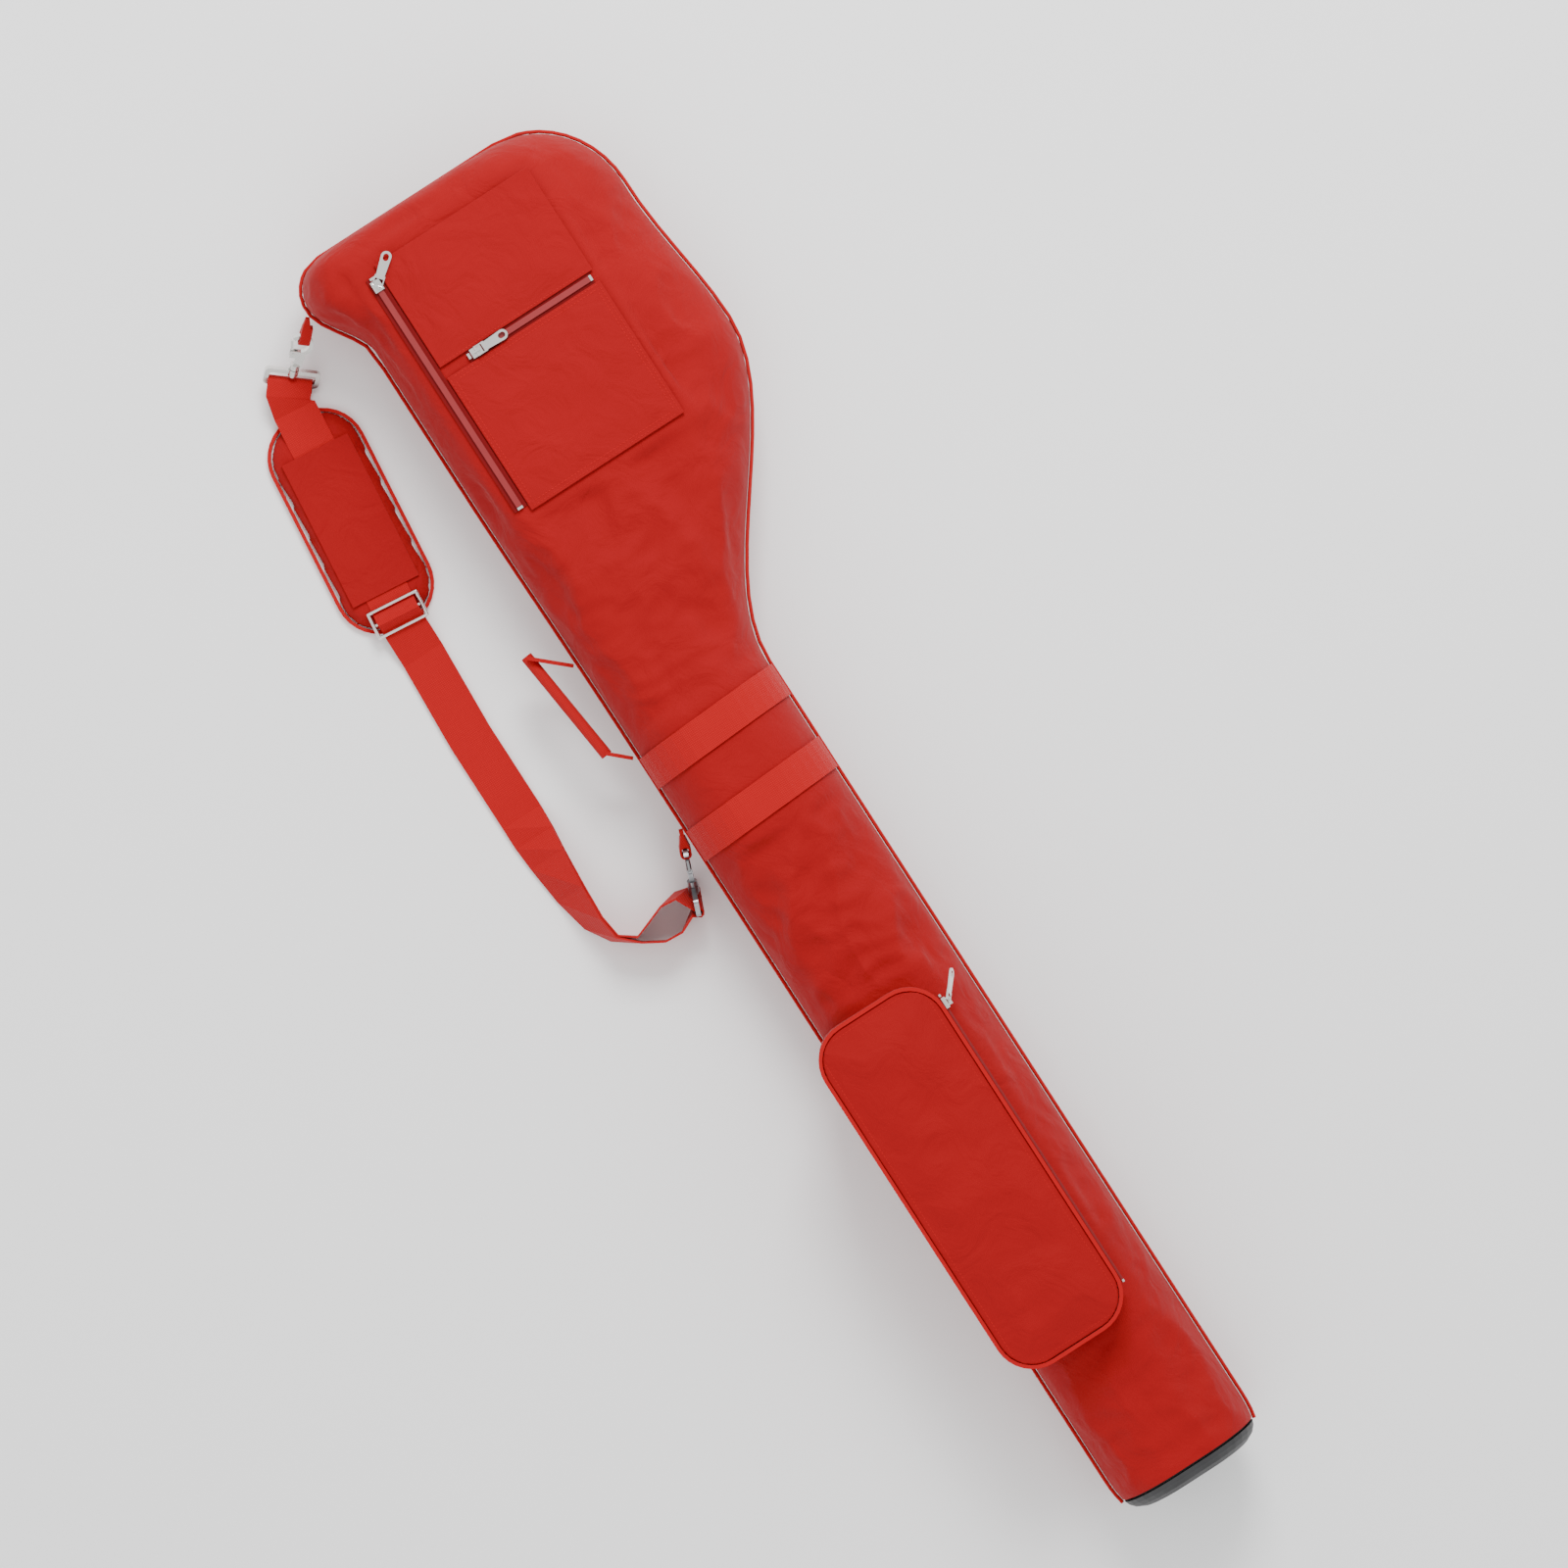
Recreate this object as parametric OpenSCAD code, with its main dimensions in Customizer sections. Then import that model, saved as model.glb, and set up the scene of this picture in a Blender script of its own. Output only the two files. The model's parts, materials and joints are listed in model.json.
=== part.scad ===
// Golf club carry bag with a wide head, lying on its back with its front face up.
// +X runs from the head to the base, +Y towards the bulge of the head, +Z up.
// The origin is on the ground under the tube's axis, at mid-length.

/* [Bag body] */
// Overall length of the bag body
bag_len = 1250; // [1040:10:1500]
// Width of the tube
tube_w = 132; // [118:2:158]
// Width of the head, from the strap side to the bulge
head_w = 265; // [225:5:320]
// Thickness of the bag body
bag_h = 116; // [100:2:139]
// Length of the wide part of the head
head_len = 226; // [210:2:272]
// Length of the shoulder between the head and the tube
shoulder_len = 260; // [218:2:280]
// Thickness of the padded wall
wall = 2.6; // [2:0.1:4]
// How far the head's strap-side corner stands out
corner_out = 28; // [10:1:34]

/* [Seams and bands] */
// Diameter of the piping along the side seam
piping_d = 3.2; // [2:0.2:4.4]
// Width of the webbing bands on the neck
band_w = 30; // [20:1:36]
// Thickness of the bands, the handle's tails and the strap's webbing
web_t = 1.6; // [1.2:0.1:2]
// Clear distance between two bands
band_gap = 42; // [30:1:60]

/* [Head pocket] */
// Length of the flat pocket panel along the bag
panel_len = 242; // [220:2:262]
// Width of the flat pocket panel across the bag
panel_w = 151; // [130:1:170]
// Thickness of the pocket panels
panel_t = 1.4; // [1:0.1:2.4]

/* [Zips] */
// Width of a zip's coil
coil_w = 5; // [4:0.2:6]
// Height of a zip's coil
coil_h = 1.8; // [1.4:0.1:2.4]
// Length of a zip puller
puller_len = 30; // [22:1:36]
// Width of a zip puller
puller_w = 9; // [8.6:0.2:11]
// Length of the main zip
main_zip_len = 228; // [200:2:232]
// Length of the head pocket's zip
pocket_zip_len = 122; // [100:1:124]

/* [Accessory pocket] */
// Length of the accessory pocket
acc_len = 330; // [270:5:400]
// Width of the accessory pocket
acc_w = 117; // [104:1:128]
// How far the accessory pocket stands off the tube
acc_h = 32; // [27:1:40]
// Corner radius of the accessory pocket
acc_r = 34; // [20:1:42]
// How far the accessory pocket hangs over the tube's strap side
acc_over = 17; // [10:1:20]

/* [Handle and strap] */
// Length of the handle's rolled grip
grip_len = 106; // [90:1:125]
// Diameter of the handle's rolled grip
grip_d = 10; // [8:0.5:12]
// Width of the shoulder strap's webbing
strap_w = 38; // [32:1:40]
// Length of the shoulder pad
pad_len = 200; // [166:2:214]
// Width of the shoulder pad
pad_w = 86; // [72:1:100]
// Thickness of the shoulder pad
pad_t = 9; // [7.5:0.5:11]

/* [Hidden] */

red = "#c81e26";
bright_red = "#dc2a2c";
dark_red = "#a0161c";
nickel = "#c9c6bf";
dark_nickel = "#6d6a66";
black = "#161616";

sewn = 0.3;            // gap between two sewn or clipped pieces
run = 0.3;             // running gap of a moving piece

// ---- outline of the body ----
head_x = -bag_len / 2;
cap_len = 12;
base_x = bag_len / 2;
panel_end_x = base_x - cap_len;
mid_z = bag_h / 2;
half_w = tube_w / 2;
shoulder_x1 = head_x + head_len;
shoulder_x0 = shoulder_x1 + shoulder_len;
bulge_y = head_w - half_w - 5;
corner_rx = 82;        // the head's bulge-side corner
corner_ry = 75;
strap_corner_r = 30;   // the head's strap-side corner
lobe_len = 62;         // the stretch over which that corner stands out
end_round = 30;        // the head's rounding in height
end_flat = 0.93;       // where along that rounding the flat head end starts
bulge_drop = 12;       // how far the bulge falls towards the head end
tube_edge_r = 50;
head_bulge_r = 76;
head_strap_r = 30;
base_round = 24;       // the rounding in plan towards the base
base_inset = 5;

function clamp01(v) = min(1, max(0, v));
function smooth(v) = let (c = clamp01(v)) c * c * (3 - 2 * c);
function mix(a, b, k) = a + (b - a) * k;
function arc_drop(u) = 1 - sqrt(1 - min(1, u) * min(1, u));
function head_k(x) = smooth((shoulder_x0 - x) / shoulder_len);
function base_k(x) = base_inset * arc_drop(clamp01((x - panel_end_x + base_round) / (base_round + 4)));
function corner_k(x, r) = arc_drop(clamp01((head_x + r - x) / r));
function y_bulge(x) = mix(half_w, bulge_y, head_k(x))
    - bulge_drop * smooth((shoulder_x1 - x) / (head_len * 0.6))
    - corner_ry * corner_k(x, corner_rx) - base_k(x);
function y_strap(x) = -mix(half_w, half_w + 3, head_k(x))
    - corner_out * smooth((head_x + strap_corner_r + lobe_len - x) / lobe_len)
    + strap_corner_r * corner_k(x, strap_corner_r) + base_k(x);
function half_h(x) = (mid_z - base_k(x))
    * pow(1 - pow(end_flat * clamp01((head_x + end_round - x) / end_round), 3), 1 / 3);
function r_bulge(x) = mix(tube_edge_r, head_bulge_r, head_k(x));
function r_strap(x) = mix(tube_edge_r, head_strap_r, head_k(x));

quarter = 8;           // facets in a quarter of the cross-section
// One half of the cross-section at x, from the bulge seam to the strap seam, grown by off.
// side is 1 for the front half and -1 for the back half.
function half_section(x, off, side, flat = false) =
    let (rb = r_bulge(x), rs = r_strap(x), h = flat ? 0.4 : max(0.01, half_h(x) + off))
    concat(
        [for (k = [0:quarter]) let (a = 90 * k / quarter)
            [x, y_bulge(x) - rb + (rb + off) * cos(a), mid_z + side * h * sin(a)]],
        [for (k = [0:quarter]) let (a = 90 + 90 * k / quarter)
            [x, y_strap(x) + rs + (rs + off) * cos(a), mid_z + side * h * sin(a)]]);

// Stations along the body: close together at the head end, along the shoulder and at the base.
function stretch(a, b, n) = [for (i = [0:n - 1]) mix(a, b, i / n)];
function rounded_stretch(a, b, n) = [for (i = [0:n - 1]) mix(b, a, cos(90 * i / n))];
body_x = concat([head_x], rounded_stretch(head_x + wall, head_x + corner_rx, 10),
    stretch(head_x + corner_rx, shoulder_x1, 6),
    stretch(shoulder_x1, shoulder_x0, 14),
    stretch(shoulder_x0, panel_end_x - base_round, 4),
    stretch(panel_end_x - base_round, panel_end_x, 3), [panel_end_x]);

// The end of a skin whose ring runs along one side and back along the other.
function end_strip(n) = [for (k = [0:n / 2 - 2]) [k, k + 1, n - 2 - k, n - 1 - k]];
function turned(faces, first) = [for (f = faces) [for (i = [len(f) - 1:-1:0]) f[i] + first]];
// Skins a list of closed rings of points, with flat ends.
module skin(rings) {
    n = len(rings[0]);
    last = (len(rings) - 1) * n;
    polyhedron(
        points = [for (r = rings, p = r) [for (v = p) round(v * 1000) / 1000]],
        faces = concat(
            end_strip(n),
            [for (s = [0:len(rings) - 2], i = [0:n - 1])
                [s * n + i, (s + 1) * n + i, (s + 1) * n + (i + 1) % n]],
            [for (s = [0:len(rings) - 2], i = [0:n - 1])
                [s * n + i, (s + 1) * n + (i + 1) % n, s * n + (i + 1) % n]],
            turned(end_strip(n), last)),
        convexity = 6);
}

function reversed(l) = [for (i = [len(l) - 1:-1:0]) l[i]];
function rounded_rect(w, h, r, n = 8) = [for (c = [0:3], k = [0:n])
    let (a = 90 * c + 90 * k / n,
        sx = (c == 0 || c == 3) ? 1 : -1,
        sy = c < 2 ? 1 : -1)
    [sx * (w / 2 - r) + r * cos(a), sy * (h / 2 - r) + r * sin(a)]];

// ---- bag body ----
module half_shell(side, gap) {
    rings = [for (i = [0:len(body_x) - 1])
        let (x = body_x[i],
            outer = half_section(x, 0, side),
            inner = half_section(x, -wall, side, i == 0),
            ring = [for (p = concat(outer, reversed(inner))) [p[0], p[1], p[2] + side * gap]])
        side > 0 ? ring : reversed(ring)];
    skin(rings);
}
module front_panel() {
    color(red) half_shell(1, sewn / 2);
}
module back_panel() {
    color(red) half_shell(-1, 0);
}

// The side seam's path, from the base along the strap side, round the head and back.
piping_off = sewn + piping_d / 2;
seam_x = [for (i = [2:len(body_x) - 1]) body_x[i]];
seam_path = concat(
    [for (x = reversed(seam_x)) [x, y_strap(x)]],
    [[head_x, y_strap(head_x)], [head_x, y_bulge(head_x)]],
    [for (x = seam_x) [x, y_bulge(x)]]);
function unit(v) = v / norm(v);
function path_dir(p, i) = unit(p[min(i + 1, len(p) - 1)] - p[max(i - 1, 0)]);
module side_piping() {
    r = piping_d / 2;
    rings = [for (i = [0:len(seam_path) - 1])
        let (d = path_dir(seam_path, i), out = [-d[1], d[0]],
            c = seam_path[i] + out * piping_off)
        [for (a = [300:-60:0]) [c[0] + out[0] * r * cos(a), c[1] + out[1] * r * cos(a),
            mid_z + r * sin(a)]]];
    color(bright_red) skin(rings);
}

// The black end: a shallow dish that closes the tube.
module base_cap() {
    x0 = panel_end_x + sewn;
    stations = [[x0, 0], [x0 + 4, -1.5], [x0 + 8, -5], [base_x, -12]];
    rings = [for (s = stations) let (x = panel_end_x)
        [for (p = concat(half_section(x, s[1], 1), reversed(half_section(x, s[1], -1))))
            [s[0], p[1], p[2]]]];
    color(black) skin(rings);
}
board_t = 2;
module base_board() {
    x = panel_end_x - board_t - sewn;
    shape = concat(half_section(x, -wall - 3, 1), reversed(half_section(x, -wall - 3, -1)));
    color(black) skin([for (s = [x + board_t + sewn * 0.9, x + board_t * 0.1])
        [for (p = shape) [s, p[1], p[2]]]]);
}

// ---- neck bands ----
band_slant = 7;
band_x1 = shoulder_x0 + 22;
band_x2 = band_x1 + band_gap + band_w;
module band(x) {
    inner = half_section(x, 2 * sewn, 1);
    outer = half_section(x, 2 * sewn + web_t, 1);
    lift = sewn + piping_d / 2 + 0.6;
    function raised(p) = [for (q = p) [q[0], q[1], max(q[2], mid_z + lift)]];
    strip = concat(raised(outer), reversed(raised(inner)));
    rings = [for (e = [-band_w / 2, band_w / 2])
        [for (p = strip) [x + e - band_slant / 2 * p[1] / half_w, p[1], p[2]]]];
    color(bright_red) skin(rings);
}
module upper_band() {
    band(band_x1);
}
module lower_band() {
    band(band_x2);
}

// ---- carry handle ----
seam_out = half_w + piping_off + piping_d / 2;   // outer face of the piping on the tube
handle_reach = 22;
handle_lean = 7;
handle_root = 46;      // half the distance between the handle's two ends
handle_mid_x = shoulder_x0 - 39;
handle_y = y_strap(handle_mid_x - handle_root) - piping_off - piping_d / 2 - 2;
tail_w = 22;
tail_root_w = 9;
grip_a = [handle_mid_x - handle_root - 28, handle_y - handle_reach - handle_lean];
grip_b = [grip_a[0] + grip_len, handle_y - handle_reach + handle_lean - 2];
module tail(a, b) {
    d = b - a;
    l = norm(d);
    translate([a[0], a[1], mid_z]) rotate([0, 0, atan2(d[1], d[0])])
        rotate([90, 0, 0]) translate([0, 0, -web_t])
            linear_extrude(2 * web_t)
                polygon([[0, -tail_root_w / 2], [l, -tail_w / 2], [l, tail_w / 2], [0, tail_root_w / 2]]);
}
module carry_handle() {
    d = grip_b - grip_a;
    color(bright_red) union() {
        translate([grip_a[0], grip_a[1], mid_z]) rotate([0, 90, atan2(d[1], d[0])])
            cylinder(h = norm(d), d = grip_d, $fn = 32);
        tail([handle_mid_x - handle_root, handle_y], grip_a + unit(d) * 2);
        tail([handle_mid_x + handle_root, handle_y], grip_b - unit(d) * 2);
    }
}

// ---- zips ----
tape_t = 0.7;
tape_w = 22;
slider_len = 10;
slider_w = 8.4;
plate_t = 1.2;
lip_w = 1.2;
crown_leg = 1.3;
crown_w = 1.4;
crown_span = 7.2;        // between the outer faces of the crown's two legs
crown_h = 3.6;
eye_r = 0.8;
puller_t = 1.4;
stop_len = 2.2;
plate_z = tape_t + coil_h + 2 * run;             // underside of the slider's plate
eye_z = plate_z + plate_t + eye_r + run;         // axis of the puller's hinge

// A zip lies along +X from its slider end, with its tape's underside at z = 0.
module zip_tape(l) {
    translate([0, -tape_w / 2, 0]) cube([l, tape_w, tape_t]);
}
module zip_coil(l) {
    translate([stop_len + sewn, -coil_w / 2, tape_t + sewn / 2])
        cube([l - 2 * (stop_len + sewn), coil_w, coil_h]);
}
module zip_stops(l) {
    for (x = [0, l - stop_len])
        translate([x, -coil_w / 2, tape_t + sewn / 2]) cube([stop_len, coil_w, coil_h]);
}
module zip_slider() {
    lip_h = coil_h + run;
    difference() {
        union() {
            translate([-slider_len / 2, -slider_w / 2, plate_z]) cube([slider_len, slider_w, plate_t]);
            for (s = [-1, 1])
                translate([-slider_len / 2, s * (slider_w - lip_w) / 2 - lip_w / 2, plate_z - lip_h])
                    cube([slider_len, lip_w, lip_h]);
            translate([-crown_span / 2, -crown_w / 2, plate_z])
                cube([crown_span, crown_w, plate_t + crown_h]);
        }
        translate([-crown_span / 2 + crown_leg, -crown_w, plate_z + plate_t])
            cube([crown_span - 2 * crown_leg, 2 * crown_w, crown_h - crown_leg]);
    }
}
// The puller turns about its eye's bar, which lies along Y through the origin, and points to -X.
module zip_puller() {
    hole_l = 5.4;
    difference() {
        union() {
            translate([-puller_len, 0, 0]) rotate([0, 0, -90]) linear_extrude(puller_t, center = true)
                hull() {
                    translate([0, puller_w / 2]) circle(d = puller_w, $fn = 32);
                    translate([0, puller_len - 9]) circle(d = puller_w - 1.6, $fn = 32);
                }
            translate([-9, -puller_w / 2, -puller_t / 2]) cube([9, puller_w, puller_t]);
            rotate([90, 0, 0]) cylinder(h = puller_w, r = eye_r, center = true, $fn = 24);
        }
        translate([-hole_l - eye_r, -puller_w / 2 + 1, -puller_t])
            cube([hole_l, puller_w - 2, 2 * puller_t]);
        translate([-puller_len + puller_w / 2, 0, 0]) {
            cylinder(h = 3 * puller_t, d = puller_w - 4.2, center = true, $fn = 32);
            translate([1.5, 0, 0]) cylinder(h = 3 * puller_t, d = puller_w - 4.2, center = true, $fn = 32);
        }
    }
}

// ---- head pocket ----
panel_z = bag_h + sewn + sewn / 2;
panel_x0 = head_x + end_round + 4;
panel_y0 = -half_w + head_strap_r + 5;           // the strap-side edge, on the flat of the front
panel_y1 = panel_y0 + panel_w;
zip_gap = 9.4;                                     // slot between the two panels over the zip
pocket_zip_x = panel_x0 + panel_len * 0.44;
module pocket_panel(x0, x1) {
    translate([x0, panel_y0, panel_z + tape_t + sewn])
        cube([x1 - x0, panel_w, panel_t]);
}
module head_pocket_top() {
    color(bright_red) pocket_panel(panel_x0, pocket_zip_x - zip_gap / 2);
}
module head_pocket_bottom() {
    color(bright_red) pocket_panel(pocket_zip_x + zip_gap / 2, panel_x0 + panel_len);
}
pocket_zip_y = panel_y1 - pocket_zip_len - 4;
module at_pocket_zip() {
    translate([pocket_zip_x, pocket_zip_y, panel_z]) rotate([0, 0, 90]) children();
}
module head_pocket_zip_tape() {
    color(red) at_pocket_zip() zip_tape(pocket_zip_len);
}
module head_pocket_zip_coil() {
    color(dark_red) at_pocket_zip() zip_coil(pocket_zip_len);
}
module head_pocket_zip_stops() {
    color(nickel) at_pocket_zip() zip_stops(pocket_zip_len);
}

// ---- main zip, along the strap side of the pocket panels ----
main_tape_w = 12;
main_zip_x = panel_x0 + 8;
main_zip_y = panel_y0 - main_tape_w / 2 - sewn;
module at_main_zip() {
    translate([main_zip_x, main_zip_y, panel_z]) children();
}
module main_zip_tape() {
    color(red) at_main_zip()
        translate([0, -main_tape_w / 2, 0]) cube([main_zip_len, main_tape_w, tape_t]);
}
module main_zip_coil() {
    color(dark_red) at_main_zip() zip_coil(main_zip_len);
}
module main_zip_stops() {
    color(nickel) at_main_zip() zip_stops(main_zip_len);
}
slider_start = stop_len + sewn + slider_len / 2 + 1;   // the closed slider's middle on its zip
main_puller_yaw = -50;
pocket_puller_yaw = 180;
module main_zip_slider() {
    color(nickel) at_main_zip() translate([slider_start, 0, 0]) zip_slider();
}
module main_zip_puller() {
    color(nickel) at_main_zip() translate([slider_start, 0, eye_z])
        rotate([0, 0, main_puller_yaw]) zip_puller();
}
module head_pocket_zip_slider() {
    color(nickel) at_pocket_zip() translate([slider_start, 0, 0]) zip_slider();
}
module head_pocket_zip_puller() {
    color(nickel) at_pocket_zip() translate([slider_start, 0, eye_z])
        rotate([0, 0, pocket_puller_yaw]) zip_puller();
}

// ---- accessory pocket ----
acc_x0 = base_x - 149 - acc_len;
acc_y0 = -half_w - acc_over;
acc_mid = [acc_x0 + acc_len / 2, acc_y0 + acc_w / 2];
acc_top = bag_h + acc_h;
acc_foot = mid_z + 14;                 // how low the pocket's overhanging side reaches
acc_wall = 2;
acc_piping = 3.2;
module pocket_plan(inset) {
    polygon([for (p = rounded_rect(acc_len - 2 * inset, acc_w - 2 * inset, acc_r - inset))
        p + acc_mid]);
}
// The tube's own space, grown by off, which the pocket is cut to.
module tube_space(off) {
    x = acc_mid[0];
    shape = concat(half_section(x, off, 1), reversed(half_section(x, off, -1)));
    translate([acc_x0 - acc_len / 2, 0, 0]) rotate([90, 0, 90])
        linear_extrude(2 * acc_len) polygon([for (p = shape) [p[1], p[2]]]);
}
module accessory_pocket_gusset() {
    color(red) difference() {
        translate([0, 0, acc_foot]) linear_extrude(acc_top - acc_piping - sewn - acc_foot)
            pocket_plan(0.6);
        translate([0, 0, acc_foot + acc_wall]) linear_extrude(acc_top - acc_foot)
            pocket_plan(0.6 + acc_wall);
        tube_space(sewn);
    }
}
module accessory_pocket_piping() {
    color(bright_red) translate([0, 0, acc_top - acc_piping]) linear_extrude(acc_piping)
        difference() {
            pocket_plan(0);
            pocket_plan(acc_piping);
        }
}
module accessory_pocket_front() {
    color(red) translate([0, 0, acc_top - acc_piping + 0.8]) linear_extrude(panel_t)
        pocket_plan(acc_piping + sewn / 2);
}
acc_zip_len = acc_len - 2 * acc_r + 20;
acc_zip_x = acc_mid[0] - acc_zip_len / 2;
acc_zip_z = acc_top - acc_piping - 12;
acc_tape_w = 14;
module at_acc_zip() {
    translate([acc_zip_x, acc_y0 + acc_w - 0.6 + sewn, acc_zip_z]) rotate([-90, 0, 0]) children();
}
module accessory_zip_tape() {
    color(dark_red) at_acc_zip()
        translate([0, -acc_tape_w / 2, 0]) cube([acc_zip_len, acc_tape_w, tape_t]);
}
module accessory_zip_coil() {
    color(dark_red) at_acc_zip() zip_coil(acc_zip_len);
}
module accessory_zip_stops() {
    color(nickel) at_acc_zip() zip_stops(acc_zip_len);
}
module accessory_zip_slider() {
    color(nickel) at_acc_zip() translate([slider_start, 0, 0]) zip_slider();
}
acc_puller_yaw = -35;
acc_puller_lift = 35;
module accessory_zip_puller() {
    color(nickel) at_acc_zip() translate([slider_start, 0, eye_z])
        rotate([0, 0, acc_puller_yaw]) rotate([0, acc_puller_lift, 0]) zip_puller();
}

// ---- snap hooks: +X from the strap's bar to the anchor loop's root at hook_reach ----
wire_r = 2;
eye_len = 13;
bar_w = strap_w + 6;                   // between the middles of the eye's two side wires
claw_r = 7;
claw_x = 43;
claw_t = 4;
hook_reach = 72;
boss_r = 4.6;
shank_r = 2;
module rod(a, b, r) {
    d = b - a;
    l = norm(d);
    translate(a) rotate([0, acos(d[2] / l), atan2(d[1], d[0])]) cylinder(h = l, r = r, $fn = 24);
}
module rod_ring(p, r) {
    for (i = [0:len(p) - 1]) {
        rod(p[i], p[(i + 1) % len(p)], r);
        translate(p[i]) sphere(r = r, $fn = 24);
    }
}
boss_len = 6;
module hook_eye() {
    difference() {
        union() {
            translate([eye_len / 2, 0, -wire_r]) linear_extrude(2 * wire_r) difference() {
                polygon(rounded_rect(eye_len + 2 * wire_r, bar_w + 2 * wire_r, 4, 4));
                polygon(rounded_rect(eye_len - 2 * wire_r, bar_w - 2 * wire_r, 2.4, 4));
            }
            translate([eye_len - boss_len / 2, 0, 0]) rotate([0, 90, 0])
                cylinder(h = boss_len, r = boss_r, $fn = 40);
        }
        translate([eye_len - boss_len, 0, 0]) rotate([0, 90, 0])
            cylinder(h = 2 * boss_len, r = shank_r + 0.08, $fn = 40);
    }
}
gate_pivot = [claw_x - claw_r - 3, 4.4];
gate_pin_r = 1;
module hook_body() {
    x0 = eye_len - boss_len / 2;
    difference() {
        union() {
            translate([x0 - run - 1.6, 0, 0]) rotate([0, 90, 0]) cylinder(h = 1.6, r = 3.4, $fn = 32);
            translate([x0 - run - 1.6, 0, 0]) rotate([0, 90, 0]) cylinder(h = 14, r = shank_r, $fn = 32);
            translate([x0 + 6 + run, 0, 0]) rotate([0, 90, 0]) cylinder(h = 5, r = 4.2, $fn = 40);
            translate([x0 + 9, -5.5, -claw_t / 2]) cube([claw_x - claw_r - x0 - 9, 7.5, claw_t]);
            translate([claw_x - claw_r - 7, -6, -claw_t / 2]) cube([7, 13, claw_t]);
            translate([claw_x, 0, 0]) rotate([0, 0, -180]) rotate_extrude(angle = 230, $fn = 64)
                translate([claw_r + 0.2, -claw_t / 2]) square([3.6, claw_t]);
        }
        translate([gate_pivot[0] - 4.2, gate_pivot[1] - 3.4, -claw_t / 4 - run])
            cube([12, 8, claw_t / 2 + 2 * run]);
        translate([gate_pivot[0], gate_pivot[1], 0])
            cylinder(h = 3 * claw_t, r = gate_pin_r + 0.02, center = true, $fn = 32);
    }
}
gate_len = 16.4;
module hook_gate() {
    translate([gate_pivot[0], gate_pivot[1], 0]) rotate([0, 0, 12]) difference() {
        union() {
            cylinder(h = claw_t / 2, r = 2.2, center = true, $fn = 32);
            translate([0, -0.4, -claw_t / 4]) cube([gate_len - 2.2, 2.2, claw_t / 2]);
        }
        cylinder(h = claw_t, r = gate_pin_r + 0.05, center = true, $fn = 32);
    }
}
module gate_pin() {
    translate([gate_pivot[0], gate_pivot[1], 0])
        cylinder(h = claw_t + 0.8, r = gate_pin_r, center = true, $fn = 32);
}
// The webbing loop that is sewn into the bag's seam and holds the claw's outer end.
loop_w = 9;
loop_shift = -2;
loop_t = 1.8;
loop_gap = 3.1;        // half the loop's inside height
loop_slack = 3.4;      // room for the claw's curve
module loop_profile(r) {
    x = claw_x + claw_r + 2;
    translate([x, 0]) circle(r = r, $fn = 48);
    translate([x - loop_slack, 0]) circle(r = r, $fn = 48);
    translate([x - loop_slack, -r]) square([loop_slack, 2 * r]);
}
module anchor_loop() {
    x = claw_x + claw_r + 2;
    r = loop_gap + loop_t;
    neck = hook_reach - 6;
    difference() {
        rotate([90, 0, 0]) translate([0, 0, -loop_w / 2 - loop_shift]) linear_extrude(loop_w)
            difference() {
                union() {
                    loop_profile(r);
                    polygon([[x, -r], [neck, -loop_t], [hook_reach, -loop_t],
                        [hook_reach, loop_t], [neck, loop_t], [x, r]]);
                }
                loop_profile(loop_gap);
            }
        for (s = [-1, 1]) translate([neck, s * loop_w, -r])
            linear_extrude(2 * r) polygon([[-3, -s * 5.5 + loop_shift / 2], [7, -s * 7.5],
                [7, s * loop_w], [-3, s * loop_w]]);
    }
}
root_gap = 1.8;
upper_x = head_x + 36;
upper_root = [upper_x, y_strap(upper_x) - piping_off - piping_d / 2 - root_gap, mid_z];
upper_yaw = 128;
upper_pitch = -41;
lower_x = band_x2 - 15;
lower_root = [lower_x, -seam_out - root_gap, mid_z];
lower_yaw = 159;
lower_pitch = -31;
upper_roll = 20;
module at_upper_hook() {
    translate(upper_root) rotate([upper_roll, upper_pitch, upper_yaw])
        translate([-hook_reach, 0, 0]) children();
}
module at_lower_hook() {
    translate(lower_root) rotate([0, 0, lower_yaw]) rotate([0, lower_pitch, 0])
        rotate([90, 0, 0]) translate([-hook_reach, 0, 0]) children();
}
function hook_dir(yaw, pitch) = [cos(yaw) * cos(pitch), sin(yaw) * cos(pitch), -sin(pitch)];
upper_bar = upper_root - hook_reach * hook_dir(upper_yaw, upper_pitch);
lower_bar = lower_root - hook_reach * hook_dir(lower_yaw, lower_pitch);
module upper_anchor_loop() {
    color(bright_red) at_upper_hook() anchor_loop();
}
module upper_hook_eye() {
    color(nickel) at_upper_hook() hook_eye();
}
module upper_hook_body() {
    color(nickel) at_upper_hook() hook_body();
}
module upper_hook_gate() {
    color(nickel) at_upper_hook() hook_gate();
}
module upper_gate_pin() {
    color(nickel) at_upper_hook() gate_pin();
}
module lower_anchor_loop() {
    color(bright_red) at_lower_hook() anchor_loop();
}
module lower_hook_eye() {
    color(dark_nickel) at_lower_hook() hook_eye();
}
module lower_hook_body() {
    color(dark_nickel) at_lower_hook() hook_body();
}
module lower_hook_gate() {
    color(dark_nickel) at_lower_hook() hook_gate();
}
module lower_gate_pin() {
    color(dark_nickel) at_lower_hook() gate_pin();
}

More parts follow.
